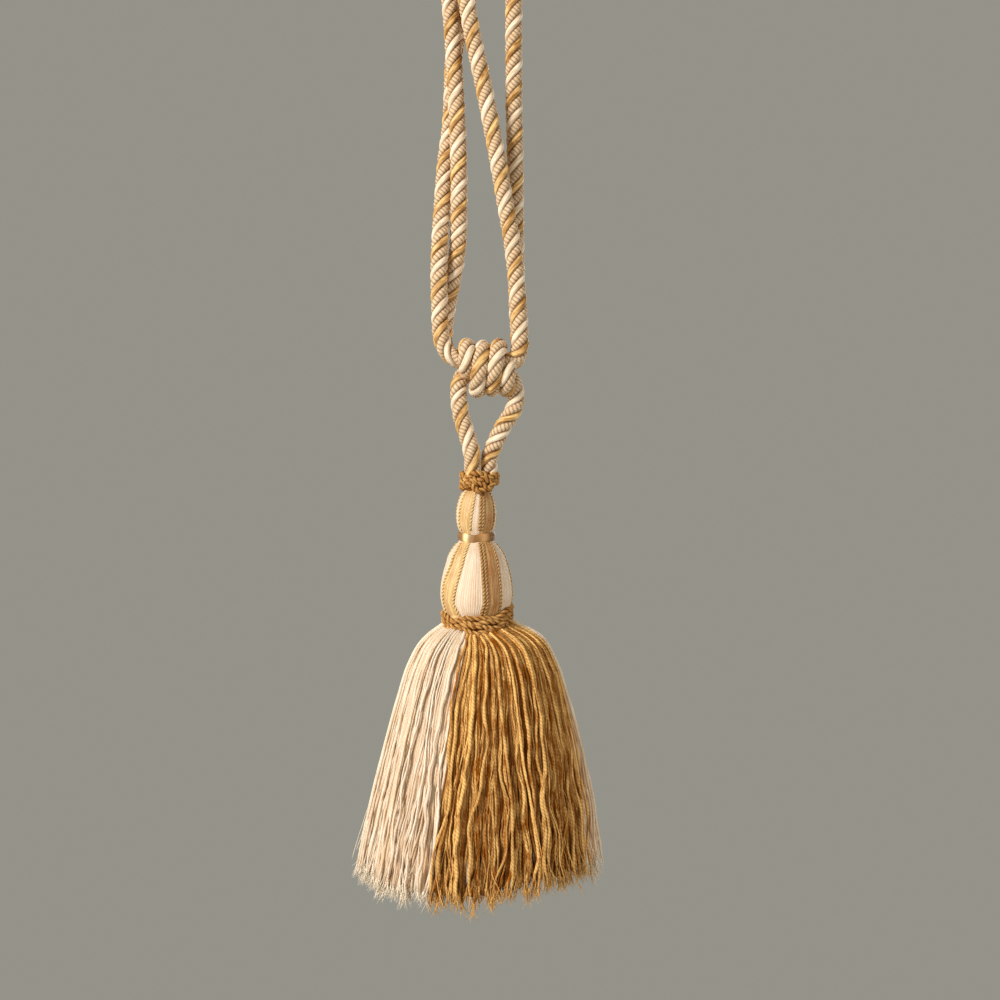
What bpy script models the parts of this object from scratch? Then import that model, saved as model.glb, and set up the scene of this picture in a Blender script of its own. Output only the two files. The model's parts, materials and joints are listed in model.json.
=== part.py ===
"""Curtain tieback tassel, hanging from the hook that its two rope loops lie over.

Frame: +Z up, -Y is the front, the origin is where the loops bear on the hook.
The tables and sizes below are in millimetres; meshes are made in metres.
"""
import math
import random
from collections import namedtuple

import bmesh
import bpy
from mathutils import Vector
from mathutils.geometry import interpolate_bezier

MM = 0.001                   # metres in a millimetre
GAP = 0.3                    # between pieces that touch

# Rope
ROPE_DIAMETER = 7.6          # the 7.9 mm rope, less the hollows between its strands
RING_SPACING = 2.2 * ROPE_DIAMETER
RING_TURN = math.radians(24)  # most that the route may turn from ring to ring
ROUTE_STEPS = 12             # fine steps between two of a route's points
ROPE_SIDES_RESOLUTION = 2    # Blender's bevel resolution, which gives 8 sides

# Slide knot
KNOT_LEAN = math.radians(13.5)   # each turn leans to the right at its top
KNOT_FACE_LEAN = math.radians(32)  # the end faces look up, towards the loops
KNOT_SIDES = 20
KNOT_STEPS = 3               # rings from the groove to the crest of a turn

# Tassel head
HEAD_X = -1.6                # the head's axis lies a little left of the hook
HEAD_SIDES = 30
PANELS = 5                   # cream panels, with a gold one between each two
PANEL_TURN = math.radians(-10)  # the first cream panel's middle
GOLD_SHARE = 0.38            # of each cream and gold pair
PANEL_GROOVE = 0.45          # depth of the groove between two panels
WAIST_TOP = -291.6
WAIST_BOTTOM = -295.9
WAIST_RADIUS = 7.3
FOOT_RADIUS = 14.1
FOOT_BOTTOM = -328.0

# Cord collars and ribbon
COLLAR_SIDES = 24
CORD_STEPS = 3               # profile steps over a row of cord
RIBBON_THICKNESS = 1.1
TOP_COLLAR_X = -0.2
TOP_COLLAR_TOP = -261.9
TOP_COLLAR_BOTTOM = -273.7
TOP_COLLAR_ROWS = 3
SKIRT_COLLAR_TOP = -325.3
SKIRT_COLLAR_BOTTOM = -334.8
SKIRT_COLLAR_ROWS = 4
SKIRT_COLLAR_TILT = math.radians(-3.5)   # it rises to the right
CORD_CREST = 0.9             # how far a row of cord stands out of its grooves

# Skirt
SKIRT_FIRST_EDGE = math.radians(-25)     # from the front towards +X
SKIRT_BLOCKS = ("skirt_gold_front", "skirt_cream_right", "skirt_gold_back", "skirt_cream_left")
LOCKS_PER_BLOCK = 8
COLUMNS_PER_LOCK = 4
LOCK_UNEVEN = 0.22           # how far a furrow strays, as a share of a lock's width
LOCK_DEPTH = 2.4             # depth of the furrow between two locks at the hem
NOTCH_DEPTH = 8.0            # how far the hem is cut up between two locks
NOTCH_SHAPE = 3              # locks end squarer the higher this is
HEM_SPREAD = 4.0             # how much one lock's length differs from another's
SKIRT_WALL_TOP = 9.0         # thickness of the yarn at the heading and at the hem
SKIRT_WALL_HEM = 13.0

Point = namedtuple("Point", "x y z")
KnotRing = namedtuple("KnotRing", "x z half_height half_depth lean")
Section = namedtuple("Section", "z radius")
SkirtSection = namedtuple("SkirtSection", "z radius centre_x has_inside")

# The left loop: up from the knot in front, over the hook, and down behind.
LEFT_ROUTE = (
    Point(-10.7, -4.0, -213.5), Point(-13.6, -4.0, -211.7), Point(-16.2, -4.0, -208.2),
    Point(-17.5, -4.0, -202.1), Point(-17.9, -3.9, -191.7), Point(-18.3, -3.1, -178.2),
    Point(-18.0, -0.2, -161.6), Point(-17.1, 4.0, -143.6), Point(-15.8, 7.0, -124.2),
    Point(-13.7, 9.0, -107.1), Point(-11.2, 9.5, -91.8), Point(-8.8, 8.6, -77.9),
    Point(-6.8, 6.3, -64.4), Point(-5.2, 4.7, -52.2), Point(-1.8, 4.2, -39.6),
    Point(4.0, 4.2, -27.9), Point(10.8, 4.2, -18.4), Point(15.2, 4.2, -9.5),
    Point(11.2, 4.2, 0.3), Point(0.0, 4.2, 4.0), Point(-11.2, 4.2, 0.3),
    Point(-15.8, 4.2, -10.0), Point(-15.6, 4.2, -26.1), Point(-14.8, 3.8, -39.6),
    Point(-13.6, 3.1, -52.2), Point(-12.2, 1.8, -70.2), Point(-11.2, 1.2, -88.2),
    Point(-10.3, 1.2, -106.2), Point(-9.6, 1.4, -124.2), Point(-9.5, 1.6, -142.2),
    Point(-9.8, 1.9, -159.3), Point(-11.2, 2.5, -171.5), Point(-13.3, 3.4, -181.8),
    Point(-15.1, 3.9, -191.7), Point(-16.2, 4.0, -202.1), Point(-15.5, 4.0, -208.6),
    Point(-13.6, 4.0, -211.7), Point(-10.7, 4.0, -213.5),
)
# The right loop: up from the knot in front, over the hook before the left one, and down behind.
RIGHT_ROUTE = (
    Point(13.1, -4.0, -215.4), Point(16.0, -4.0, -213.6), Point(17.8, -4.0, -209.8),
    Point(17.9, -4.0, -202.1), Point(17.2, -4.0, -189.5), Point(16.1, -4.0, -176.0),
    Point(14.0, -4.0, -159.3), Point(11.0, -4.0, -142.2), Point(7.9, -4.0, -124.2),
    Point(4.5, -4.0, -106.2), Point(0.9, -4.1, -88.2), Point(-2.7, -4.1, -70.2),
    Point(-6.3, -4.2, -52.2), Point(-8.8, -4.2, -39.6), Point(-11.7, -4.2, -28.8),
    Point(-14.6, -4.2, -18.4), Point(-15.3, -4.2, -8.5), Point(-10.6, -4.2, 0.6),
    Point(0.0, -4.2, 4.0), Point(10.9, -4.2, 0.6), Point(15.8, -4.2, -9.5),
    Point(16.2, -4.2, -20.4), Point(15.8, -4.2, -32.9), Point(15.3, -4.1, -47.7),
    Point(15.2, -2.7, -65.7), Point(15.3, 0.0, -83.7), Point(15.4, 2.7, -101.7),
    Point(15.8, 4.0, -119.7), Point(16.0, 4.1, -142.2), Point(16.2, 4.1, -164.7),
    Point(16.7, 4.1, -187.2), Point(17.5, 4.0, -202.1), Point(17.6, 4.0, -209.8),
    Point(16.0, 4.0, -213.6), Point(13.1, 4.0, -215.4),
)
LEFT_LEG_ROUTE = (
    Point(-9.3, 1.5, -224.2), Point(-9.6, 1.2, -228.0), Point(-9.4, 0.6, -233.0),
    Point(-8.6, 0.0, -240.5), Point(-6.9, 0.0, -247.5), Point(-5.1, 0.0, -253.5),
    Point(-4.4, 0.0, -257.6), Point(-4.3, 0.0, -261.5),
)
RIGHT_LEG_ROUTE = (
    Point(17.8, 2.0, -225.0), Point(17.7, 1.4, -228.6), Point(16.4, 0.7, -233.5),
    Point(14.0, 0.0, -238.5), Point(11.2, 0.0, -243.7), Point(8.6, 0.0, -249.0),
    Point(6.0, 0.0, -254.0), Point(4.2, 0.0, -257.8), Point(4.1, 0.0, -261.5),
)

# The knot from left to right: an end face, then each turn's crest with the grooves between.
KNOT_RINGS = (
    KnotRing(-10.3, -213.8, 5.2, 8.0, KNOT_FACE_LEAN),
    KnotRing(-6.6, -213.8, 9.0, 12.0, KNOT_LEAN),
    KnotRing(-3.3, -215.8, 7.8, 10.4, KNOT_LEAN),
    KnotRing(0.0, -218.3, 12.8, 13.5, KNOT_LEAN),
    KnotRing(3.3, -217.6, 10.2, 11.4, KNOT_LEAN),
    KnotRing(6.3, -217.0, 12.3, 13.5, KNOT_LEAN),
    KnotRing(8.7, -218.4, 8.8, 11.0, KNOT_LEAN),
    KnotRing(10.5, -219.2, 8.8, 12.0, KNOT_LEAN),
    KnotRing(12.7, -215.6, 4.7, 8.0, -KNOT_FACE_LEAN),
)
HEAD_SECTIONS = (
    Section(-274.1, 5.6), Section(-274.4, 6.5), Section(-276.4, 7.5), Section(-280.0, 8.5),
    Section(-285.3, 8.9), Section(-288.9, 8.6), Section(WAIST_TOP, 7.7),
    Section(WAIST_TOP - 0.1, WAIST_RADIUS), Section(WAIST_BOTTOM + 0.1, WAIST_RADIUS),
    Section(WAIST_BOTTOM, 8.6), Section(-297.9, 10.1), Section(-300.8, 12.0),
    Section(-306.0, 13.9), Section(-311.4, 15.3), Section(-316.8, 16.1), Section(-320.5, 16.3),
    Section(-322.4, 15.8), Section(-323.5, FOOT_RADIUS), Section(FOOT_BOTTOM, FOOT_RADIUS),
)
# The outside of the skirt, from its heading inside the collar to the hem.
SKIRT_SECTIONS = (
    SkirtSection(FOOT_BOTTOM - 0.4, FOOT_RADIUS - 0.2, HEAD_X, True),
    SkirtSection(-336.1, FOOT_RADIUS - 0.2, HEAD_X, True),
    SkirtSection(-336.2, 19.0, -0.8, False),
    SkirtSection(-337.2, 23.2, 0.2, False),
    SkirtSection(-340.8, 27.3, 0.9, True),
    SkirtSection(-351.0, 32.9, 1.1, False),
    SkirtSection(-366.0, 37.9, 1.1, True),
    SkirtSection(-383.4, 42.8, 1.2, False),
    SkirtSection(-403.0, 47.6, 0.9, True),
    SkirtSection(-420.0, 51.6, 0.6, False),
    SkirtSection(-443.0, 54.4, -0.2, True),
)
FLUTE_START = 2              # the last skirt section without locks


def clear_scene():
    for old in list(bpy.data.objects):
        bpy.data.objects.remove(old, do_unlink=True)


def fabric(name, colour, roughness):
    """A Principled material for yarn or cord."""
    material = bpy.data.materials.new(name)
    material.use_nodes = True
    shader = material.node_tree.nodes["Principled BSDF"]
    shader.inputs["Base Color"].default_value = (*colour, 1.0)
    shader.inputs["Roughness"].default_value = roughness
    shader.inputs["Metallic"].default_value = 0.0
    material.diffuse_color = (*colour, 1.0)
    return material


def place(name, data, material, location=(0.0, 0.0, 0.0)):
    """Link an object that holds data, with its own material, at a place in millimetres."""
    made = bpy.data.objects.new(name, data)
    made.location = Vector(location) * MM
    bpy.context.collection.objects.link(made)
    data.materials.append(material)
    return made


def loft(name, rings):
    """A closed mesh through rings of equal count, with a fan of faces over each end ring."""
    bm = bmesh.new()
    rows = [[bm.verts.new(point * MM) for point in ring] for ring in rings]
    count = len(rows[0])
    for upper, lower in zip(rows, rows[1:]):
        for i in range(count):
            j = (i + 1) % count
            bm.faces.new((upper[i], lower[i], lower[j], upper[j]))
    for row in (rows[0], rows[-1]):
        centre = sum((vert.co for vert in row), Vector()) / count
        hub = bm.verts.new(centre)
        for i in range(count):
            bm.faces.new((row[i], row[(i + 1) % count], hub))
    bmesh.ops.recalc_face_normals(bm, faces=bm.faces)
    mesh = bpy.data.meshes.new(name)
    bm.to_mesh(mesh)
    bm.free()
    mesh.shade_smooth()
    return mesh


def smooth_route(route):
    """A smooth curve through the route's points, as a fine line of vectors."""
    knots = [Vector(point) for point in route]
    last = len(knots) - 1
    line = [knots[0]]
    for i in range(last):
        start, end = knots[i], knots[i + 1]
        span = (end - start).length
        arrive = (end - knots[max(i - 1, 0)]).normalized() * span / 3
        leave = (knots[min(i + 2, last)] - start).normalized() * span / 3
        line += interpolate_bezier(start, start + arrive, end - leave, end, ROUTE_STEPS + 1)[1:]
    return line


def ring_points(line):
    """The points of a line that a tube needs: evenly spaced, and closer where it turns.

    The first and last stretches of the route stay straight, so the tube's ends face squarely.
    """
    body = line[ROUTE_STEPS:-ROUTE_STEPS]
    kept = [line[0], body[0]]
    used = 0.0
    for before, here, after in zip(body, body[1:], body[2:]):
        step = here - before
        used += step.length / RING_SPACING + step.angle(after - here) / RING_TURN
        if used >= 1.0:
            kept.append(here)
            used = 0.0
    if (body[-1] - kept[-1]).length < ROPE_DIAMETER / 3:
        kept.pop()
    return kept + [body[-1], line[-1]]


def rope(name, route, material):
    """A plain round tube along a route, as a bevelled curve with filled caps."""
    points = ring_points(smooth_route(route))
    curve = bpy.data.curves.new(name, "CURVE")
    curve.dimensions = "3D"
    curve.bevel_depth = ROPE_DIAMETER / 2 * MM
    curve.bevel_resolution = ROPE_SIDES_RESOLUTION
    curve.use_fill_caps = True
    curve.resolution_u = 1
    curve.render_resolution_u = 0
    spline = curve.splines.new("POLY")
    spline.points.add(len(points) - 1)
    for slot, point in zip(spline.points, points):
        slot.co = (*(point * MM), 1.0)
    return place(name, curve, material)


def knot_ring(row):
    """One leaning oval of the knot's surface, round the X axis."""
    ring = []
    for i in range(KNOT_SIDES):
        turn = 2 * math.pi * i / KNOT_SIDES
        rise = row.half_height * math.cos(turn)
        ring.append(Vector((row.x + rise * math.tan(row.lean),
                            row.half_depth * math.sin(turn),
                            row.z + rise)))
    return ring


def between(low, high, out):
    """A ring between a groove and a crest, on a quarter of an ellipse (out from 0 to 1)."""
    along = 1 - math.sqrt(1 - out * out)
    mixed = [a + (b - a) * along for a, b in zip(low, high)]
    result = KnotRing(*mixed)
    return result._replace(half_height=low.half_height + (high.half_height - low.half_height) * out,
                           half_depth=low.half_depth + (high.half_depth - low.half_depth) * out)


def slide_knot(material):
    """Four turns of rope wound into a barrel, as one solid with a round ridge for each turn."""
    rings = [knot_ring(KNOT_RINGS[0])]
    for here, after in zip(KNOT_RINGS, KNOT_RINGS[1:]):
        rising = after.half_height > here.half_height
        low, high = (here, after) if rising else (after, here)
        shares = [math.sin(math.pi / 2 * k / KNOT_STEPS) for k in range(1, KNOT_STEPS)]
        for out in shares if rising else reversed(shares):
            rings.append(knot_ring(between(low, high, out)))
        rings.append(knot_ring(after))
    return place("slide_knot", loft("slide_knot", rings), material)


def panel_groove(turn):
    """How deep the head is drawn in at an angle: full where a cream and a gold panel meet."""
    pitch = 2 * math.pi / PANELS
    off = (turn - PANEL_TURN + pitch / 2) % pitch - pitch / 2
    edge = abs(abs(off) - pitch * (1 - GOLD_SHARE) / 2) / (pitch / 2)
    return PANEL_GROOVE * max(0.0, 1 - edge * 4)


def head(material):
    """The yarn-covered head: a small swell, the waist, a pear-shaped swell and its foot."""
    rings = []
    for row in HEAD_SECTIONS:
        ring = []
        for i in range(HEAD_SIDES):
            turn = 2 * math.pi * i / HEAD_SIDES
            in_panel = row.radius > WAIST_RADIUS and row.radius != FOOT_RADIUS
            radius = row.radius - (panel_groove(turn) if in_panel else 0.0)
            ring.append(Vector((radius * math.sin(turn), -radius * math.cos(turn), row.z)))
        rings.append(ring)
    return place("head", loft("head", rings), material, (HEAD_X, 0.0, 0.0))


def cord_profile(height, rows, radius):
    """The outside of a stack of cord rows: a list of (height, radius) from top to bottom."""
    step = height / rows / CORD_STEPS
    profile = []
    for k in range(rows * CORD_STEPS + 1):
        crest = abs(math.sin(math.pi * k / CORD_STEPS))
        profile.append((height / 2 - step * k, radius - CORD_CREST * (1 - crest)))
    return profile


def turned(profile, sides):
    """Rings round the Z axis for a profile of (height, radius)."""
    return [[Vector((radius * math.sin(2 * math.pi * i / sides),
                     -radius * math.cos(2 * math.pi * i / sides), z)) for i in range(sides)]
            for z, radius in profile]


def hollow_ring(name, profile, inner_radius):
    """A ring with the given outside and a plain round bore."""
    bm = bmesh.new()
    top, bottom = profile[0][0], profile[-1][0]
    corner_radius = inner_radius / math.cos(math.pi / COLLAR_SIDES)
    outline = list(profile) + [(bottom, corner_radius), (top, corner_radius)]
    verts = [bm.verts.new(Vector((0.0, -radius, z)) * MM) for z, radius in outline]
    edges = [bm.edges.new((verts[i], verts[(i + 1) % len(verts)])) for i in range(len(verts))]
    bmesh.ops.spin(bm, geom=verts + edges, cent=(0, 0, 0), axis=(0, 0, 1),
                   angle=2 * math.pi, steps=COLLAR_SIDES, use_merge=True)
    bmesh.ops.remove_doubles(bm, verts=bm.verts, dist=0.00001)
    bmesh.ops.recalc_face_normals(bm, faces=bm.faces)
    mesh = bpy.data.meshes.new(name)
    bm.to_mesh(mesh)
    bm.free()
    mesh.shade_smooth()
    return mesh


def top_collar(material):
    """Rows of cord wound round the roots of the hanger legs, as one closed solid."""
    height = TOP_COLLAR_TOP - TOP_COLLAR_BOTTOM
    profile = cord_profile(height, TOP_COLLAR_ROWS, 8.9)
    mesh = loft("top_collar", turned(profile, COLLAR_SIDES))
    middle = (TOP_COLLAR_TOP + TOP_COLLAR_BOTTOM) / 2
    return place("top_collar", mesh, material, (TOP_COLLAR_X, 0.0, middle))


def waist_ribbon(material):
    """The ribbon round the waist, a thin crowned band."""
    half = (WAIST_TOP - WAIST_BOTTOM) / 2 - GAP
    inner = WAIST_RADIUS + GAP
    outer = inner + RIBBON_THICKNESS
    profile = [(half, outer - 0.3), (half * 0.4, outer), (-half * 0.4, outer), (-half, outer - 0.3)]
    mesh = hollow_ring("waist_ribbon", profile, inner)
    middle = (WAIST_TOP + WAIST_BOTTOM) / 2
    return place("waist_ribbon", mesh, material, (HEAD_X, 0.0, middle))


def skirt_collar(material):
    """Rows of cord round the foot of the head, tilted up to the right."""
    height = SKIRT_COLLAR_TOP - SKIRT_COLLAR_BOTTOM
    inner = FOOT_RADIUS + GAP + height / 2 * abs(math.tan(SKIRT_COLLAR_TILT))
    mesh = hollow_ring("skirt_collar", cord_profile(height, SKIRT_COLLAR_ROWS, 17.4), inner)
    middle = (SKIRT_COLLAR_TOP + SKIRT_COLLAR_BOTTOM) / 2
    made = place("skirt_collar", mesh, material, (HEAD_X, 0.0, middle))
    made.rotation_euler = (0.0, SKIRT_COLLAR_TILT, 0.0)
    return made


def skirt_strip(share, first_edge, furrow, hem_drop):
    """One column of the fringe: its outside from heading to hem, and its inside where it has one."""
    last = len(SKIRT_SECTIONS) - 1
    outside, inside = [], []
    for k, row in enumerate(SKIRT_SECTIONS):
        flare = max(0.0, (k - FLUTE_START) / (last - FLUTE_START))
        z = row.z - (hem_drop if k == last else 0.0)
        wall = SKIRT_WALL_TOP + (SKIRT_WALL_HEM - SKIRT_WALL_TOP) * flare
        outer_radius = row.radius - LOCK_DEPTH * furrow * math.sqrt(flare)
        for side, radius in ((outside, outer_radius), (inside, row.radius - wall)):
            edge_gap = GAP / 2 / radius
            turn = first_edge + edge_gap + (math.pi / 2 - 2 * edge_gap) * share
            side.append(Vector((row.centre_x + radius * math.sin(turn),
                                -radius * math.cos(turn), z)) * MM)
    return outside, [point if row.has_inside else None
                     for point, row in zip(inside, SKIRT_SECTIONS)]


def cap_strip(bm, outside, inside):
    """Faces over a block's side wall, a fan from each inside point up to the one above it."""
    above = 0
    for k in range(1, len(inside)):
        if inside[k] is None:
            continue
        for j in range(above, k):
            bm.faces.new((inside[k], outside[j], outside[j + 1]))
        bm.faces.new((inside[k], inside[above], outside[above]))
        above = k


def lock_edges(rng):
    """Where the furrows lie over a block's width, from 0 to 1, a little uneven."""
    stray = LOCK_UNEVEN / LOCKS_PER_BLOCK
    inner = [k / LOCKS_PER_BLOCK + rng.uniform(-stray, stray) for k in range(1, LOCKS_PER_BLOCK)]
    return [0.0] + inner + [1.0]


def skirt_block(name, first_edge, material, rng):
    """A quarter of the fringe: a comb of locks that hang from one heading and part at the hem."""
    columns = LOCKS_PER_BLOCK * COLUMNS_PER_LOCK
    lengths = [rng.uniform(-HEM_SPREAD, HEM_SPREAD) / 2 for _ in range(LOCKS_PER_BLOCK)]
    edges = lock_edges(rng)
    bm = bmesh.new()
    strips = []
    for c in range(columns + 1):
        furrow = math.cos(math.pi * c / COLUMNS_PER_LOCK) ** 2
        lock = min(c // COLUMNS_PER_LOCK, LOCKS_PER_BLOCK - 1)
        across = c / COLUMNS_PER_LOCK - lock
        share = edges[lock] + (edges[lock + 1] - edges[lock]) * across
        hem_drop = lengths[lock] - NOTCH_DEPTH * furrow ** NOTCH_SHAPE
        outside, inside = skirt_strip(share, first_edge, furrow, hem_drop)
        strips.append(([bm.verts.new(point) for point in outside],
                       [point and bm.verts.new(point) for point in inside]))
    loops = [outside + [vert for vert in reversed(inside) if vert] for outside, inside in strips]
    count = len(loops[0])
    for near, far in zip(loops, loops[1:]):
        for i in range(count):
            j = (i + 1) % count
            bm.faces.new((near[i], near[j], far[j], far[i]))
    cap_strip(bm, *strips[0])
    cap_strip(bm, *strips[-1])
    bmesh.ops.recalc_face_normals(bm, faces=bm.faces)
    mesh = bpy.data.meshes.new(name)
    bm.to_mesh(mesh)
    bm.free()
    mesh.shade_smooth()
    return place(name, mesh, material)


def build():
    clear_scene()
    rope_parts = (("rope_loop_left", LEFT_ROUTE), ("rope_loop_right", RIGHT_ROUTE),
                  ("hanger_leg_left", LEFT_LEG_ROUTE), ("hanger_leg_right", RIGHT_LEG_ROUTE))
    for name, route in rope_parts:
        rope(name, route, fabric(name, (0.74, 0.55, 0.30), 0.75))
    slide_knot(fabric("slide_knot", (0.76, 0.58, 0.34), 0.75))
    top_collar(fabric("top_collar", (0.42, 0.24, 0.07), 0.6))
    head(fabric("head", (0.82, 0.66, 0.42), 0.7))
    waist_ribbon(fabric("waist_ribbon", (0.55, 0.33, 0.09), 0.4))
    skirt_collar(fabric("skirt_collar", (0.45, 0.26, 0.07), 0.6))
    rng = random.Random(11)
    for i, name in enumerate(SKIRT_BLOCKS):
        gold = "gold" in name
        colour = (0.52, 0.29, 0.08) if gold else (0.86, 0.76, 0.58)
        first_edge = SKIRT_FIRST_EDGE + i * math.pi / 2
        skirt_block(name, first_edge, fabric(name, colour, 0.7), rng)


build()
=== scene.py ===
"""Curtain tieback tassel: the looks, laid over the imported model.

Frame: +Z up, -Y is the front, and the origin is where the rope loops bear on their hook.
Tables and sizes are in millimetres, as in the part's source; meshes are made in metres.
An angle called a turn goes from the front (-Y) towards +X, round the tassel's axis.
"""
import json
import math
from collections import namedtuple
from functools import partial

import bpy
import numpy as np
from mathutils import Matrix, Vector
from mathutils.geometry import interpolate_bezier

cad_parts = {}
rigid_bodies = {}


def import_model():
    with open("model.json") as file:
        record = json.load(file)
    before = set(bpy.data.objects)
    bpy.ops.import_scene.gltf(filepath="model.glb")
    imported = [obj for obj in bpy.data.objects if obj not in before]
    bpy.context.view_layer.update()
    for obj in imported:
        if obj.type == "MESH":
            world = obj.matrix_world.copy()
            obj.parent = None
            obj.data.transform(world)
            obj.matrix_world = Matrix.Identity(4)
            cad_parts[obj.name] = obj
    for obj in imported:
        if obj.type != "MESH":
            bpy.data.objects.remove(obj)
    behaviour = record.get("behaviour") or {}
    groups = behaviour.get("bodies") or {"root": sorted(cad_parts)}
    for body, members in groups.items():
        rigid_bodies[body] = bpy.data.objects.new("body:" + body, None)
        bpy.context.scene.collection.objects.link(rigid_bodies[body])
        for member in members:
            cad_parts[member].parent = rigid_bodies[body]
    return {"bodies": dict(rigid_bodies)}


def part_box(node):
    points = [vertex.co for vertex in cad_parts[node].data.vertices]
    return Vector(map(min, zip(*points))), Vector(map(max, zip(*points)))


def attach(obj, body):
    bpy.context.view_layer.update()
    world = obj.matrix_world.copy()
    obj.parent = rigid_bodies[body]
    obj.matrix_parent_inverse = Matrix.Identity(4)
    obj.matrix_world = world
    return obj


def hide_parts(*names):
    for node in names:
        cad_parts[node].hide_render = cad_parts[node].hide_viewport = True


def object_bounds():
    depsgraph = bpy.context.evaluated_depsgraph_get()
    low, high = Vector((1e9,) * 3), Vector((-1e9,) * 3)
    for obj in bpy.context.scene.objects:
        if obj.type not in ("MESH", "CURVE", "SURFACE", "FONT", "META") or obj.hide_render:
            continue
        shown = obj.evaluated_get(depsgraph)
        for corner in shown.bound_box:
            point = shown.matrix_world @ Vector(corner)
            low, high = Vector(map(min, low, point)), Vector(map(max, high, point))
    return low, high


MM = 0.001  # metres in a millimetre
FULL_TURN = 2 * math.pi
RANDOM = np.random.default_rng(11)

# Camera and light
CAMERA_DISTANCE = 650.0
CAMERA_ABOVE_HEM = 167.8  # the camera looks level, at the head's upper swell
CAMERA_X = 9.0
VIEW_WIDTH = 450.0  # what the picture takes in at the tassel's axis
SENSOR_WIDTH = 36.0
FLOOR_BELOW_HEM = 330.0
FLOOR_RADIUS = 550.0
FLOOR_TONE = (214, 211, 203)
BACKDROP_TONE = (160, 158, 148)
BACKDROP_STRENGTH = 0.85

# Rope: four strands, cream satin, ribbed gimp, gold satin and ribbed gimp again
ROPE_DIAMETER = 7.9
ROPE_LAY = 21.5  # one full turn of the strands
ROUTE_STEPS = 12  # fine steps between two of a route's points
STRAND_COLUMNS = np.array((-1.0, -0.88, -0.62, -0.22, 0.22, 0.62, 0.88))  # across each strand
STRAND_SHARES = (0.225, 0.275, 0.225, 0.275)  # of the way round
STRAND_GROOVE = 0.29  # depth between two strands, as a share of the rope's radius
STRAND_SHAPE = 3.4  # strands are rounder the lower this is
ROPE_MATERIALS = ("cream_satin", "gimp", "gold_satin")
STRAND_SLOTS = (0, 1, 2, 1)  # each strand's place in these materials
GIMP_STRANDS = (1, 3)
RIB_SPACING = 1.75  # along the strand
RIB_DEPTH = 0.36
RIB_LEAN = 0.8  # ribs lie square across their strand at 1, flatter below it
RIB_SHARPNESS = 0.6  # the grooves between ribs are narrower the lower this is
RINGS_PER_RIB = 3
STRAND_SHADOW = 0.88  # how much painted shade the groove between two strands takes
STRAND_SHADOW_SHAPE = 5.5  # it stays closer to the groove the higher this is
RIB_SHADOW = 0.42  # and the painted shade in the groove between two ribs
LAY_WANDER = 0.35  # how far the strands stray from an even lay, in radians
LAY_WANDER_RUN = 23.0
SLANT = math.pi * ROPE_DIAMETER / ROPE_LAY  # a strand's run round the rope for each mm along
STRAND_RUN = math.hypot(1.0, SLANT)  # a strand's own length for each mm of rope
ROPE_STEP = RIB_SPACING / STRAND_RUN / RINGS_PER_RIB
RIBS_ROUND = RIB_LEAN * math.pi * ROPE_DIAMETER * SLANT / STRAND_RUN / RIB_SPACING

# Slide knot
KNOT_ROPE_RADIUS = 3.85
KNOT_LAY_START = 240.0
KNOT_STEPS = 90  # points along each turn
KNOT_PASSING = 0.22  # share of a turn, at either end, that moves over to the next
# How many turns slacker the lay has become, along the knot's share of rope.
KNOT_TWIST = ((0.0, 0.0), (0.2, -0.16), (0.29, -0.55), (0.37, -0.64), (0.5, -0.8),
              (0.625, -0.99), (0.75, -1.15), (0.875, -1.31), (1.0, -1.35))

# Collars of twisted cord
TOP_CORD_RADIUS = 1.4
TOP_CORD_LAY = 5.2
TOP_COLLAR_OUT = 0.3  # how far its rows stand out past the solid
TOP_ROW_TILT = 0.5  # how far the first row rises to the right
TOP_ROW_DROP = 0.4  # how far the first row sags at the front
TOP_LAST_DROP = 1.9  # and the last row
SKIRT_CORD_RADIUS = 1.25
SKIRT_CORD_LAY = 6.0
COIL_STEPS = 120  # points along each row
SKIRT_COLLAR_X = 0.4  # how far its middle lies to the right of the solid's
SKIRT_COLLAR_IN = 1.1  # how far its rows lie inside the solid
SKIRT_ROW_LIFT = 0.8
SKIRT_ROW_DROP = 1.7  # how far a row sags at the front and rises at the back
SKIRT_HUMP_TURN = math.radians(82)  # where the rows climb over one another
SKIRT_HUMP_FROM = math.radians(120)  # turns are counted from this far round to the left
SKIRT_HUMP_WIDTH = 0.8
SKIRT_HUMP = 4.6  # how high the first row climbs there
SKIRT_HUMP_LOSS = 1.0  # and how much less the last one does

# Head
# The first and last turn of each of the five cream panels, at heights down the head.
PANEL_EDGES = (
    (-329.0, -31.0, 8.0, 44.5, 91.5, 110.5, 157.5, 177.5, 224.5, 244.5, 291.0),
    (-323.0, -40.0, 14.0, 44.5, 91.5, 110.5, 157.5, 177.5, 224.5, 244.5, 291.0),
    (-314.6, -33.2, 12.4, 43.3, 91.5, 112.0, 158.0, 179.0, 225.0, 246.0, 292.0),
    (-306.0, -26.5, 11.5, 45.4, 92.0, 116.0, 157.0, 183.0, 224.0, 254.0, 305.0),
    (-300.0, -23.2, 10.4, 47.3, 93.0, 118.0, 156.0, 185.0, 223.0, 262.0, 309.0),
    (-293.0, -20.0, 11.0, 55.0, 96.0, 122.0, 155.0, 189.0, 222.0, 262.0, 301.0),
    (-289.0, -17.7, 10.8, 62.0, 98.0, 126.0, 158.0, 193.0, 225.0, 262.0, 296.0),
    (-279.8, -9.2, 14.1, 66.6, 100.0, 134.0, 160.0, 201.0, 227.0, 266.0, 303.4),
    (-273.0, -2.0, 19.0, 74.0, 102.0, 140.0, 163.0, 207.0, 230.0, 270.0, 309.0),
)
PANELS = 5
GOLD_PAINTED_LIGHT = (0.12, 0.4, 0.5, 0.6, 0.72)  # painted light on the gold panels, going round from the front: lightest on the left
PIPING_ROWS = (2, 1, 1, 1, 1)  # cords along the last edge of each cream panel
THREADS_PER_PAIR = 24
GOLD_THREADS = 11
COLUMNS_PER_THREAD = 4
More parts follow.
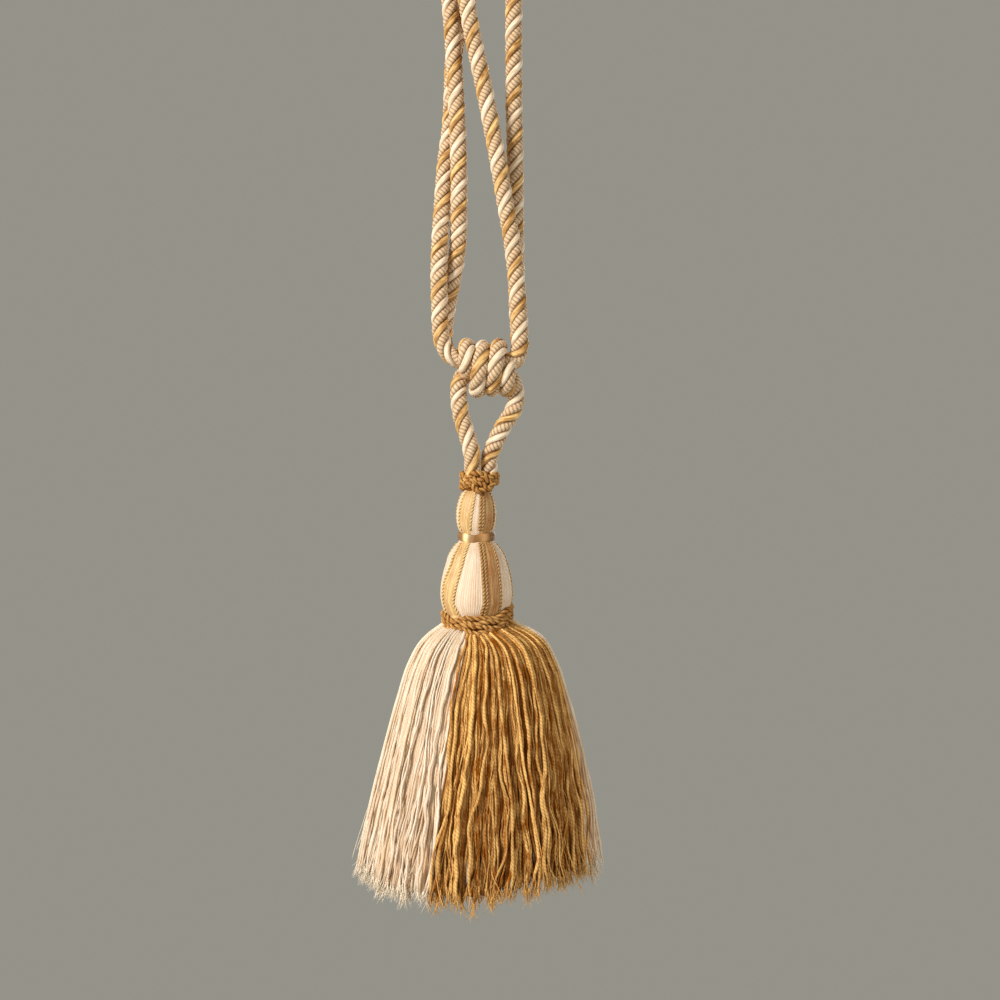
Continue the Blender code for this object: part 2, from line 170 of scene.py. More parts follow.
THREAD_RELIEF = 0.13
PANEL_BULGE = 0.45
PIPING_RADIUS = 0.8
PIPING_LAY = 3.2
PIPING_SUNK = 0.35  # how deep the piping's middle lies in the yarn
PIPING_SPACING = 1.5  # between two cords on one edge
HEAD_RINGS = 74
PIPING_RINGS = 90
PIPING_STEP = 0.42
PIPING_SIDES = 8
HEAD_ROUGHNESS = 0.05
THREAD_SHADES = 0.25  # how far a thread's shade may differ from its panel's

# Waist ribbon
RIBBON_COLUMNS = 144
RIBBON_RADIUS = 7.75
# Across the ribbon: out from its radius, and up as a share of half its width.
RIBBON_OUTLINE = np.array((
    (-0.35, -1.0), (0.05, -1.0), (0.35, -0.93), (0.45, -0.5), (0.55, 0.0),
    (0.42, 0.5), (0.3, 0.93), (0.0, 1.0), (-0.35, 1.0), (-0.4, 0.0),
))

# Skirt
BLOCK_TURNS = {
    "skirt_gold_front": (-23.0, 62.0),
    "skirt_cream_right": (62.0, 155.0),
    "skirt_gold_back": (155.0, 245.0),
    "skirt_cream_left": (245.0, 337.0),
}
OUTER_YARNS = 190  # in each block
INNER_YARNS = 110
CORE_YARNS = 72
LOOSE_SHARE = 0.07  # of the outer yarns, which cross over the others
STRAY_THREADS = 14
LOCKS = 36  # bunches of yarn in each block
OUTER_RINGS, INNER_RINGS, CORE_RINGS = 48, 24, 12
LOCK_KINK = 1.9  # how far the locks on the right kink sideways
LOCK_KINK_RUN = 27.0
LOCK_LEAN = 1.4  # how far a lock's end strays sideways
LOCK_DEPTH = 3.0  # how far the deepest lock lies behind the foremost
LOCK_END = 1.3  # how uneven the locks' lengths are, and the yarns' within them
YARN_END = 1.7
YARN_SHADE = 0.28  # how uneven the yarns' shades are within a lock
LOOSE_DRIFT = 4.0  # how far a loose yarn's end strays sideways
NUB_SIZE = 0.16  # how uneven a yarn's thickness is, as a share of it, and its painted highlight with it
# how much lighter each nub is painted, as a painted highlight
NUB_HIGHLIGHT = 0.19
TIP_SHARE = 0.05  # of a yarn's run, where it tapers
OUTER_RADIUS = 0.47
OUTER_SIDES = 5
INNER_RADIUS = 0.8
INNER_SIDES = 4
STRAY_RADIUS = 0.17
FRAY_RADIUS = 0.19
FRAY_SIDES = 3
OUTER_FRAY = 5  # filaments at the end of each yarn
INNER_FRAY = 2
UV_SHIFT = 50.0  # how far apart yarns may start in their fibre pattern
SIDE_LIFT = 2.6  # how much higher the skirt's shoulders sit
RIGHT_LIFT = 1.8  # and the right one more
FRONT_DROP = 2.2  # how much lower its front sits
SHOULDER_SHARE = 0.3  # of each yarn's run, from the collar
GOLD_SPREAD = math.radians(22)  # how far the gold reaches round over the cream at the shoulder
GOLD_EDGE = math.radians(62)
GOLD_REACH = math.radians(45)  # and how far round from the edge the yarns are carried along
CREAM_SPREAD = math.radians(9)  # and the cream over the gold at the front
CREAM_EDGE = math.radians(-23)
CREAM_REACH = math.radians(40)
HEM_Z = -439.0
HEM_SAG = 3.0  # how much longer the yarns are where the hem hangs lowest
HEM_LOWEST = math.radians(-15)
HEM_RISE = 3.8  # how much shorter they are to the right of its front

Lamp = namedtuple("Lamp", "name place size power tone")
# A cord wound in rows, from below the collar's top to above its foot.
Coil = namedtuple("Coil", "inset below_top above_foot rows wander start step sides shade")
YarnLook = namedtuple("YarnLook", "bunching shade crest")

# The lamps' places from the middle of the tassel and their sizes, in metres.
LAMPS = (
    Lamp("window", (-1.05, -0.9, 0.55), 0.5, 29.0, (1.0, 0.97, 0.92)),
    Lamp("fill", (1.25, -0.8, 0.1), 0.8, 7.5, (1.0, 0.95, 0.88)),
    Lamp("back", (0.35, 1.4, 0.4), 1.2, 12.0, (1.0, 0.97, 0.93)),
)

# How far the locks gather, and the shade and crest of the yarns behind them; their low crest is
# painted shade.
YARN_LOOKS = {"gold_yarn": YarnLook(0.8, 0.5, 0.7), "cream_yarn": YarnLook(0.6, 0.5, 0.8)}

# The routes of the ropes' middles: x, y and z of their points.
LEFT_ROUTE = (
    (-5.5, -4.0, -215.0), (-10.7, -4.0, -213.5), (-13.6, -4.0, -211.7), (-16.2, -4.0, -208.2),
    (-17.5, -4.0, -202.1), (-17.9, -3.9, -191.7), (-18.3, -3.1, -178.2), (-18.0, -0.2, -161.6),
    (-17.1, 4.0, -143.6), (-15.8, 7.0, -124.2), (-13.7, 9.0, -107.1), (-12.9, 9.7, -91.8),
    (-12.4, 9.9, -77.9), (-10.2, 9.2, -66.0), (-6.6, 6.4, -55.0), (-1.8, 4.2, -39.6),
    (4.0, 4.2, -27.9), (10.8, 4.2, -18.4), (15.2, 4.2, -9.5), (11.2, 4.2, 0.3), (0.0, 4.2, 4.0),
    (-11.2, 4.2, 0.3), (-15.8, 4.2, -10.0), (-15.6, 4.2, -26.1), (-14.8, 3.8, -39.6),
    (-13.6, 3.1, -52.2), (-12.2, 1.8, -70.2), (-11.2, 1.2, -88.2), (-10.3, 1.2, -106.2),
    (-9.6, 1.4, -124.2), (-9.5, 1.6, -142.2), (-9.8, 1.9, -159.3), (-11.2, 2.5, -171.5),
    (-13.3, 3.4, -181.8), (-15.1, 3.9, -191.7), (-16.2, 4.0, -202.1), (-15.5, 4.0, -208.6),
    (-13.6, 4.0, -211.7), (-10.7, 4.0, -213.5), (-5.5, 4.0, -215.0),
)
RIGHT_ROUTE = (
    (13.1, -4.0, -215.4), (16.0, -4.0, -213.6), (17.8, -4.0, -209.8), (17.9, -4.0, -202.1),
    (17.2, -4.0, -189.5), (16.1, -4.0, -176.0), (14.0, -4.0, -159.3), (11.0, -4.0, -142.2),
    (7.9, -4.0, -124.2), (4.5, -4.0, -106.2), (0.9, -4.1, -88.2), (-3.1, -4.1, -70.2),
    (-6.3, -4.2, -52.2), (-8.8, -4.2, -39.6), (-11.7, -4.2, -28.8), (-14.6, -4.2, -18.4),
    (-15.3, -4.2, -8.5), (-10.6, -4.2, 0.6), (0.0, -4.2, 4.0), (10.9, -4.2, 0.6),
    (15.8, -4.2, -9.5), (16.2, -4.2, -20.4), (15.8, -4.2, -32.9), (15.3, -4.1, -47.7),
    (15.2, -2.7, -65.7), (15.3, 0.0, -83.7), (15.4, 2.7, -101.7), (15.8, 4.0, -119.7),
    (16.0, 4.1, -142.2), (16.2, 4.1, -164.7), (16.7, 4.1, -187.2), (17.5, 4.0, -202.1),
    (17.6, 4.0, -209.8), (16.0, 4.0, -213.6), (13.1, 4.0, -215.4),
)
# The rope ring that the tassel hangs from: up the left leg, through the knot, down the right leg.
HANGER_ROUTE = (
    (-3.3, -1.6, -268.0), (-3.3, -1.6, -260.5), (-3.6, -1.5, -257.0), (-4.3, -1.1, -253.0),
    (-6.0, -0.5, -247.5), (-8.2, 0.0, -240.5), (-9.4, 0.6, -233.0), (-9.6, 1.2, -228.0),
    (-8.9, 1.8, -223.5), (-6.0, 2.6, -219.6), (0.0, 3.0, -218.3), (8.0, 3.0, -219.0),
    (12.0, 2.9, -220.6), (15.0, 2.4, -223.9), (16.1, 1.6, -228.6), (16.3, 0.9, -232.5),
    (15.0, 0.2, -236.6), (12.7, 0.0, -240.7), (10.5, 0.0, -244.0), (8.7, 0.4, -247.4),
    (7.1, 1.0, -250.9), (5.6, 1.5, -254.2), (4.3, 1.8, -257.8), (4.0, 1.8, -260.6),
    (3.8, 1.8, -268.0),
)
# How far each rope's strands are turned on, in turns, at shares of its length.
LEFT_TWIST = ((0.0, -0.24), (0.047, -0.21), (0.085, -0.17), (0.123, -0.05), (0.163, 0.02),
              (0.25, 0.0), (0.5, 0.0), (0.66, -0.13), (0.75, -0.2), (0.79, -0.2), (0.85, -0.03),
              (0.89, 0.12), (1.0, 0.12))
RIGHT_TWIST = ((0.0, -0.42), (0.035, -0.4), (0.078, -0.32), (0.119, -0.15), (0.162, -0.03),
               (0.206, 0.05), (0.25, -0.05), (0.29, -0.13), (0.36, -0.15), (0.45, -0.2),
               (0.667, -0.21), (0.714, -0.13), (0.757, 0.0), (0.8, 0.06), (1.0, 0.08))
HANGER_TWIST = ((0.0, -0.18), (0.12, -0.32), (0.22, -0.3), (0.3, -0.26), (0.38, -0.14),
                (0.65, -0.37), (1.0, -0.13))
# The knot's turns: the x and z of their middles, half their height and depth, and their lean.
WRAPS = ((-5.7, -213.8, 9.6, 12.0, -1.0), (0.1, -218.3, 13.2, 13.8, 8.5),
         (7.0, -217.6, 13.3, 13.8, 9.5), (12.4, -221.2, 9.8, 11.6, 4.0))
# The rows that show, and the ones under them, whose lower shade is painted shade.
TOP_COILS = (Coil(0.0, 3.0, 3.2, 3.7, 0.85, 2.6, 0.42, 16, 0.7),
             Coil(1.7, 3.8, 3.0, 3, 0.6, 0.4, 0.6, 16, 0.3))
SKIRT_COILS = (Coil(0.0, 4.3, 0.1, 4.6, 0.7, 3.3, 0.42, 12, 0.7),
               Coil(1.7, 4.6, 0.3, 4, 0.4, 0.9, 0.7, 8, 0.3))
HEAD_X = -1.6  # the head's axis
WAIST_Z = -293.7
PIPING_BREAK = (WAIST_Z + 2.6, WAIST_Z - 2.3)  # where the piping stops for the ribbon
PIPING_END = -329.0
# Height and radius of the head, from its top down.
HEAD_SECTIONS = (
    (-270.8, 4.6), (-273.0, 5.6), (-274.4, 6.6), (-276.4, 7.5), (-280.0, 8.5), (-285.3, 8.9),
    (-288.9, 8.4), (-291.6, 7.4), (-293.7, 7.0), (-295.9, 8.1), (-297.9, 9.8), (-300.8, 12.0),
    (-306.0, 13.9), (-311.4, 15.3), (-316.8, 16.1), (-321.0, 16.1), (-325.0, 15.3), (-328.6, 13.8),
    (-330.4, 12.0), (-331.0, 6.0),
)
# How a yarn on the outside of the skirt runs, from under the collar to the hem: its height, its
# radius, and the x that this goes round.
SKIRT_SECTIONS = (
    (-333.6, 13.0, -1.3), (-336.4, 18.2, -0.8), (-338.6, 22.8, 0.2), (-342.0, 27.3, 0.9),
    (-351.0, 32.9, 1.1), (-366.0, 37.9, 1.1), (-383.4, 42.8, 1.2), (-403.0, 47.6, 0.9),
    (-420.0, 51.3, 0.6), (HEM_Z, 54.6, -0.2),
)


# ---- Lines and tubes ----

def smooth_route(route):
    """A smooth curve through the route's points, as a fine line."""
    knots = [Vector(point) for point in route]
    last = len(knots) - 1
    line = [knots[0]]
    for i in range(last):
        start, end = knots[i], knots[i + 1]
        span = (end - start).length
        arrive = (end - knots[max(i - 1, 0)]).normalized() * span / 3
        leave = (knots[min(i + 2, last)] - start).normalized() * span / 3
        line += interpolate_bezier(start, start + arrive, end - leave, end, ROUTE_STEPS + 1)[1:]
    return np.array([tuple(point) for point in line])


def even_line(line, step):
    """The line again, with evenly spaced points, and the distance along it at each point."""
    run = np.concatenate([[0.0], np.cumsum(np.linalg.norm(np.diff(line, axis=0), axis=1))])
    count = max(2, round(run[-1] / step) + 1)
    at = np.linspace(0.0, run[-1], count)
    return np.stack([np.interp(at, run, line[:, axis]) for axis in range(3)], axis=1), at


def hermite(knots, values, at):
    """A smooth curve through values, read at other places; knots rise."""
    knots, values = np.asarray(knots, float), np.asarray(values, float)
    slopes = np.gradient(values, knots)
    i = np.clip(np.searchsorted(knots, at) - 1, 0, len(knots) - 2)
    span = knots[i + 1] - knots[i]
    t = clamp((at - knots[i]) / span)
    return ((2 * t**3 - 3 * t**2 + 1) * values[i] + (t**3 - 2 * t**2 + t) * span * slopes[i]
            + (3 * t**2 - 2 * t**3) * values[i + 1] + (t**3 - t**2) * span * slopes[i + 1])


def clamp(values):
    """The values, kept between 0 and 1."""
    return np.clip(values, 0.0, 1.0)


def unit(vectors):
    """The vectors at length 1."""
    return vectors / np.maximum(np.linalg.norm(vectors, axis=-1, keepdims=True), 1e-9)


def cross_directions(paths):
    """Two directions across each path, (tubes, rings, 3), that turn no more than the path does."""
    ahead = unit(np.gradient(paths, axis=1))
    side = np.empty_like(ahead)
    side[:, 0] = unit(np.cross(ahead[:, 0], (0.31, 0.95, 0.05)))
    for i in range(1, paths.shape[1]):
        here = ahead[:, i]
        carried = side[:, i - 1]
        side[:, i] = unit(carried - here * np.sum(carried * here, axis=1, keepdims=True))
    return side, np.cross(ahead, side)


def surface(points, along, shade, crest, slots=0, closed=False, around=None):
    """Tubes through given rings, (tubes, rings, sides, 3), as arrays that add_mesh takes.

    along is the distance along each tube and around the share of the way round it, one more than
    the sides, for the UV map; shade and crest are what the materials read, one for each point;
    slots is the material of each side. Every open tube gets end caps.
    """
    shape = tubes, rings, sides = points.shape[:3]
    around = np.linspace(0.0, 1.0, sides + 1) if around is None else around
    index = np.arange(tubes * rings * sides).reshape(shape)
    below = np.roll(index, -1, axis=1) if closed else index[:, 1:]
    above = index if closed else index[:, :-1]
    quads = np.stack([above, np.roll(above, -1, axis=2),
                      np.roll(below, -1, axis=2), below], axis=-1)
    u = np.broadcast_to(along, (tubes, rings))
    step = u[:, 1:] - u[:, :-1]
    step = np.concatenate([step, step[:, -1:]], axis=1) if closed else step
    u = np.broadcast_to(u[:, :above.shape[1], None], above.shape)
    next_u = u + step[..., None]
    v = np.broadcast_to(around[:-1], above.shape)
    next_v = np.broadcast_to(around[1:], above.shape)
    uv = np.stack([np.stack([u, v], axis=-1), np.stack([u, next_v], axis=-1),
                   np.stack([next_u, next_v], axis=-1), np.stack([next_u, v], axis=-1)], axis=-2)
    triangles = np.zeros((0, 3), int)
    if not closed:
        fan = np.arange(1, sides - 1)
        start_caps = index[:, 0][:, np.stack([0 * fan, fan + 1, fan], axis=-1)]
        end_caps = index[:, -1][:, np.stack([0 * fan, fan, fan + 1], axis=-1)]
        triangles = np.concatenate([start_caps, end_caps]).reshape(-1, 3)
    return {
        "points": points.reshape(-1, 3),
        "quads": quads.reshape(-1, 4),
        "triangles": triangles,
        "uv": uv.reshape(-1, 2),
        "slots": np.broadcast_to(slots, above.shape).reshape(-1),
        "shade": np.broadcast_to(shade, shape).reshape(-1),
        "crest": np.broadcast_to(crest, shape).reshape(-1),
    }


def sweep(paths, angles, radii, along, shade, crest, slots=0, around=None):
    """Tubes along paths, (tubes, rings, 3); angles and radii fit (tubes, rings, sides)."""
    side, up = cross_directions(paths)
    angles, radii = np.broadcast_arrays(angles, radii)
    angles, radii = angles[..., None], radii[..., None]
    points = paths[:, :, None] + radii * (np.cos(angles) * side[:, :, None]
                                         + np.sin(angles) * up[:, :, None])
    return surface(points, along, shade, crest, slots, around=around)


def round_tubes(paths, sides, radii, along, shade, crest):
    """Tubes of plain round section; radii fit (tubes, rings, 1)."""
    corners = FULL_TURN * np.arange(sides) / sides
    return sweep(paths, corners[None, None], radii * np.ones(sides), along, shade, crest)


def bell(place, middle, width):
    """A smooth bump of height 1."""
    return np.exp(-((place - middle) / width) ** 2)


def add_mesh(name, bundles, materials):
    """One object of all the bundles of tubes, with its UV map and attributes."""
    starts = np.cumsum([0] + [len(b["points"]) for b in bundles])
    points = np.concatenate([b["points"] for b in bundles]) * MM
    quads = np.concatenate([b["quads"] + s for b, s in zip(bundles, starts)])
    triangles = np.concatenate([b["triangles"] + s for b, s in zip(bundles, starts)])
    corners = np.concatenate([quads.ravel(), triangles.ravel()])
    face_starts = np.concatenate([np.arange(len(quads)) * 4,
                                  len(quads) * 4 + np.arange(len(triangles)) * 3])
    uv = np.concatenate([b["uv"] for b in bundles] + [np.zeros((triangles.size, 2))])
    slots = np.concatenate([b["slots"] for b in bundles] + [np.zeros(len(triangles))])
    mesh = bpy.data.meshes.new(name)
    mesh.vertices.add(len(points))
    mesh.vertices.foreach_set("co", points.ravel())
    mesh.loops.add(len(corners))
    mesh.loops.foreach_set("vertex_index", corners.astype(np.int32))
    mesh.polygons.add(len(face_starts))
    mesh.polygons.foreach_set("loop_start", face_starts.astype(np.int32))
    mesh.polygons.foreach_set("material_index", slots.astype(np.int32))
    mesh.update(calc_edges=True)
    mesh.uv_layers.new(name="thread").data.foreach_set("uv", uv.ravel())
    for attribute in ("shade", "crest"):
        values = np.concatenate([b[attribute] for b in bundles])
        mesh.attributes.new(attribute, "FLOAT", "POINT").data.foreach_set("value", values)
    mesh.shade_smooth()
    made = bpy.data.objects.new(name, mesh)
    bpy.context.collection.objects.link(made)
    for material in materials:
        mesh.materials.append(material)
    return made


# ---- Materials ----

def node(tree, kind, inputs=(), **settings):
    """A shader node with its settings, and its inputs set to a value or linked to an output."""
    made = tree.nodes.new(kind)
    for key, value in settings.items():
        setattr(made, key, value)
    for key, value in dict(inputs).items():
        if isinstance(value, bpy.types.NodeSocket):
            tree.links.new(value, made.inputs[key])
        else:
            made.inputs[key].default_value = value
    return made


def maths(tree, operation, *values):
    """The output of one Math node."""
    return node(tree, "ShaderNodeMath", enumerate(values), operation=operation).outputs[0]


def mixed(tree, share, first, second):
    """A colour between two colours or outputs."""
    made = node(tree, "ShaderNodeMix", {0: share, 6: first, 7: second}, data_type="RGBA")
    return made.outputs[2]


def colour(tone):
    """A colour from its red, green and blue in sRGB, 0 to 255."""
    values = [part / 255 for part in tone]
    return (*[v / 12.92 if v <= 0.04045 else ((v + 0.055) / 1.055) ** 2.4 for v in values], 1.0)


def thread_material(name, painted_shade_and_glint, dark, light, roughness, plies=0.0, lay=3.0, twist_depth=0.0,
                    groove_shape=0.6, fibre_scale=26.0, streak=0.3, fibre_depth=0.45, bump=0.12,
                    specular=0.4, sheen=0.12, depth_of_dye=1.0, contrast=0.9, mottling=0.5):
    """Twisted fibre: a helical groove between plies, fine fibres along them, and uneven dye.

    The dye runs from dark to light, and turns to painted shade in grooves and where crest is low.
    """
    painted_shade_and_glint, dark, light = map(colour, (painted_shade_and_glint, dark, light))
    material = bpy.data.materials.new(name)
    material.use_nodes = True
    tree = material.node_tree
    plus, minus, times = (partial(maths, tree, kind) for kind in ("ADD", "SUBTRACT", "MULTIPLY"))
    shader = tree.nodes["Principled BSDF"]
    uv = node(tree, "ShaderNodeUVMap", uv_map="thread")
    parts = node(tree, "ShaderNodeSeparateXYZ", {0: uv.outputs[0]})
    along, around = parts.outputs[0], parts.outputs[1]
    shade = node(tree, "ShaderNodeAttribute", attribute_name="shade").outputs["Fac"]
    crest = node(tree, "ShaderNodeAttribute", attribute_name="crest").outputs["Fac"]

    helix = plus(times(along, plies * FULL_TURN / lay), times(around, plies * FULL_TURN))
    ply = maths(tree, "MULTIPLY_ADD", maths(tree, "COSINE", helix), 0.5, 0.5)
    ply = maths(tree, "POWER", ply, groove_shape)

    fibre_place = node(tree, "ShaderNodeCombineXYZ", enumerate((
        times(along, streak), times(around, fibre_scale), times(shade, 37.0))))
    fibre = node(tree, "ShaderNodeTexNoise", {
        "Vector": fibre_place.outputs[0], "Scale": 1.0, "Detail": 2.0, "Roughness": 0.55,
    }).outputs["Fac"]
    place = node(tree, "ShaderNodeTexCoord").outputs["Object"]
    patches = node(tree, "ShaderNodeTexNoise", {
        "Vector": place, "Scale": 160.0, "Detail": 2.0, "Roughness": 0.6,
    }).outputs["Fac"]

    # How far the dye goes from dark to light: by fibre, by patch, and by shade, which holds some
    # painted light.
    share = plus(times(minus(fibre, 0.5), contrast), times(minus(patches, 0.5), mottling))
    share = plus(share, times(shade, 0.8))
    share = node(tree, "ShaderNodeMapRange", {"Value": share, "From Min": -0.1, "From Max": 0.8})
    dyed = mixed(tree, maths(tree, "POWER", share.outputs[0], depth_of_dye), dark, light)
    # Painted shade: the dye turns to the first colour in the grooves between plies and where crest
    # is low.
    groove = times(minus(1.0, ply), twist_depth)
    dyed = mixed(tree, groove, dyed, painted_shade_and_glint)
    dyed = mixed(tree, minus(1.0, crest), dyed, painted_shade_and_glint)
    tree.links.new(dyed, shader.inputs["Base Color"])

    height = plus(times(ply, twist_depth), times(fibre, fibre_depth))
    raised = node(tree, "ShaderNodeBump", {
        "Height": height, "Strength": 0.8, "Distance": bump * MM,
    })
    tree.links.new(raised.outputs[0], shader.inputs["Normal"])
    shader.inputs["Roughness"].default_value = roughness
    shader.inputs["Sheen Weight"].default_value = sheen
    shader.inputs["Sheen Roughness"].default_value = 0.4
    shader.inputs["Specular IOR Level"].default_value = specular
    return material


def make_materials():
    """Every thread's material; each one's first colour is painted shade, the ribbon's a painted
    glint.
    """
    return {
        "cream_satin": thread_material(
            "cream satin strand", (128, 78, 34), (214, 184, 148),
            (248, 230, 204), 0.55, fibre_scale=22.0, fibre_depth=1.2,
            bump=0.25, specular=0.15, sheen=0.04, contrast=2.6, mottling=1.2),
        "gimp": thread_material(
            "ribbed gimp strand", (88, 38, 0), (214, 168, 118),
            (251, 229, 194), 0.6, plies=RIBS_ROUND,
            lay=RIBS_ROUND * RIB_SPACING / STRAND_RUN, twist_depth=0.7, groove_shape=0.32,
            fibre_scale=20.0, bump=0.3, specular=0.12, sheen=0.04),
        "gold_satin": thread_material(
            "gold satin strand", (64, 28, 0), (150, 96, 28),
            (250, 207, 140), 0.45, fibre_scale=22.0, streak=0.25, fibre_depth=1.4,
            bump=0.25, specular=0.25, sheen=0.04, depth_of_dye=1.15, contrast=2.2, mottling=1.2),
        "gold_cord": thread_material(
            "twisted gold cord", (72, 26, 0), (136, 68, 0),
            (249, 197, 121), 0.5, plies=10, lay=13.0, twist_depth=0.4, specular=0.0,
            sheen=0.0, depth_of_dye=2.1, contrast=2.0, mottling=0.9),
        "head_cream": thread_material(
            "cream head yarn", (188, 140, 98), (224, 196, 164),
            (247, 232, 211), 0.5, fibre_scale=240.0, streak=0.2, fibre_depth=0.9,
            contrast=1.8, mottling=1.0),
        "head_gold": thread_material(
            "gold head yarn", (124, 74, 28), (176, 116, 54),
            (255, 222, 158), 0.45, fibre_scale=240.0, streak=0.1, fibre_depth=0.9,
            contrast=1.6, mottling=0.8),
        "piping": thread_material(
            "head piping", (92, 54, 14), (160, 108, 50),
            (250, 214, 144), 0.5),
        "ribbon": thread_material(
            "gold satin ribbon", (255, 238, 178), (108, 70, 28),
            (206, 154, 94), 0.42, fibre_scale=60.0, streak=0.05, specular=0.35),
        "gold_yarn": thread_material(
            "gold yarn", (98, 42, 0), (158, 88, 6),
            (252, 204, 126), 0.6, plies=2, lay=3.2, twist_depth=0.45, fibre_scale=8.0,
            specular=0.0, sheen=0.0, depth_of_dye=1.55, contrast=1.4, mottling=1.1),
        "cream_yarn": thread_material(
            "cream yarn", (180, 128, 80), (222, 190, 150),
            (244, 233, 213), 0.5, plies=2, lay=3.2, twist_depth=0.25, fibre_scale=8.0,
            bump=0.1, contrast=1.1, mottling=0.8),
    }


# ---- Ropes ----

def rope_tube(line, lay_start, radius, twist):
    """The four-strand rope along a line; twist lists turns gained at shares of its length."""
    middle, at = even_line(line, ROPE_STEP)
    gained = np.interp(at / at[-1], *np.transpose(twist))
    turn = (math.radians(lay_start) + FULL_TURN * (at / ROPE_LAY + gained)
            + LAY_WANDER * np.sin(at / LAY_WANDER_RUN + lay_start))
    strands = len(STRAND_SHARES)
    starts = np.cumsum(STRAND_SHARES) - STRAND_SHARES
    share = np.concatenate([start + width * (STRAND_COLUMNS + 1) / 2
                            for start, width in zip(starts, STRAND_SHARES)])
    reach = np.abs(np.tile(STRAND_COLUMNS, strands))
    gimp = np.repeat([k in GIMP_STRANDS for k in range(strands)], len(STRAND_COLUMNS))
    # The ribs of the gimp lie across its strands; the material counts them the same way.
    rib = np.abs(np.cos(math.pi * (at[:, None] * STRAND_RUN / RIB_SPACING + RIBS_ROUND * share)))
    rib = np.where(gimp, rib ** RIB_SHARPNESS, 1.0)
    radii = (radius * (1 - STRAND_GROOVE * reach**STRAND_SHAPE)
             - RIB_DEPTH * (1 - rib) * (1 - reach**4))
    # Painted shade: the grooves between strands and between ribs turn towards the material's
    # painted shade colour.
    crest = (1 - STRAND_SHADOW * reach**STRAND_SHADOW_SHAPE) * (1 - RIB_SHADOW * (1 - rib))
    bundle = sweep(middle[None], turn[:, None] + FULL_TURN * share, radii, at[None], 0.5, crest,
                   np.repeat(STRAND_SLOTS, len(STRAND_COLUMNS)), around=np.append(share, 1.0))
    return bundle, middle * MM, at[-1] * MM


def rope_cord(name, route, lay_start, twist, nodes, materials, root):
    """A rope that follows a route and stands for the CAD tubes along it."""
    bundle, path, length = rope_tube(smooth_route(route), lay_start, ROPE_DIAMETER / 2, twist)
    made = add_mesh(name, [bundle], [materials[key] for key in ROPE_MATERIALS])
    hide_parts(*nodes)
    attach(made, root)


def knot_line():
    """The middle of the rope through the knot's four turns, from left to right."""
    rows = np.array(WRAPS)
    count = len(WRAPS)
    turns = np.linspace(0.0, count, KNOT_STEPS * count)
    # Each turn keeps its own size over the front and passes to the next one behind.
    whole = np.floor(turns)
    part = turns - whole
    passed = clamp((part - 1) / KNOT_PASSING + 1) / 2 - clamp(1 - part / KNOT_PASSING) / 2
    place = np.clip(whole + passed, 0, count - 1)
    x, z, high, deep, lean = (np.interp(place, np.arange(count), rows[:, i]) for i in range(5))
    angle = FULL_TURN * (turns - 0.5)
    rise = -np.sin(angle) * (high - KNOT_ROPE_RADIUS)
    y = -np.cos(angle) * (deep - KNOT_ROPE_RADIUS)
    return np.stack([x + rise * np.tan(np.radians(lean)), y, z + rise], axis=1)


def slide_knot(materials, root):
    """The knot's four turns, in one length of rope."""
    bundle, _, _ = rope_tube(knot_line(), KNOT_LAY_START, KNOT_ROPE_RADIUS, KNOT_TWIST)
    made = add_mesh("knot_turns", [bundle], [materials[key] for key in ROPE_MATERIALS])
    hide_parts("slide_knot")
    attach(made, root)


# ---- Collars ----

def twisted_cord(line, radius, lay, step, sides, shade, start=0.0):
    """A cord of two round plies twisted together."""
    middle, at = even_line(line, step)
    column = FULL_TURN * np.arange(sides) / sides
    turn = start + FULL_TURN * at / lay
    angles = turn[:, None] + column
    swell = np.abs(np.cos(column)) ** 0.9
    radii = radius * (0.6 + 0.4 * swell) * np.ones((len(at), 1))
    # Painted shade where the two plies meet, through crest.
    crest = (0.15 + 0.85 * swell) * np.ones((len(at), 1))
    return sweep(middle[None], angles, radii, at[None], shade, crest)


def coil(centre_x, radius, top, bottom, rows, wander, rise, start_turn):
    """A cord's middle, wound in rows from top to bottom round an upright axis.

    rise gives how far it is raised, from its angle and how far through its rows it is.
    """
    turns = np.linspace(0.0, rows, round(COIL_STEPS * rows))
    angle = start_turn + FULL_TURN * turns
    row = top + (bottom - top) * turns / rows
    noise = (np.sin(angle * 3.1 + 1.0) + 0.7 * np.sin(angle * 5.3 + turns) +
             0.5 * np.sin(angle * 8.7 + 2 * turns)) * wander
    out = radius + 0.35 * wander * np.sin(angle * 4.3 + 2.0 * turns)
    return np.stack([centre_x + out * np.sin(angle), -out * np.cos(angle),
                     row + noise + rise(angle, turns / rows)], axis=1)


def wound_cords(box, coils, aside, outward, cord_radius, lay, rise):
    """A collar's cords, each wound in rows between the top and the foot of the solid's box."""
    low, high = box
    centre_x = (low.x + high.x) / 2 / MM + aside
    radius = (high.x - low.x) / 2 / MM - cord_radius + outward
    bundles = []
    for wound in coils:
        line = coil(centre_x, radius - wound.inset, high.z / MM - wound.below_top,
                    low.z / MM + wound.above_foot, wound.rows, wound.wander, rise, wound.start)
        bundles.append(twisted_cord(line, cord_radius, lay, wound.step, wound.sides,
                                    wound.shade))
    return bundles


def top_collar(materials, root):
    """Rows of cord round the feet of the hanger's legs, sagging at the front."""
    def rise(angle, share):
        front = (0.5 + 0.5 * np.cos(angle)) ** 2
        return ((TOP_ROW_TILT * np.sin(angle) - TOP_ROW_DROP * front) * (1 - share)
                - TOP_LAST_DROP * front * share)

    bundles = wound_cords(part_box("top_collar"), TOP_COILS, 0.0, TOP_COLLAR_OUT,
                          TOP_CORD_RADIUS, TOP_CORD_LAY, rise)
    made = add_mesh("top_collar_cord", bundles, [materials["gold_cord"]])
    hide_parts("top_collar")
    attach(made, root)


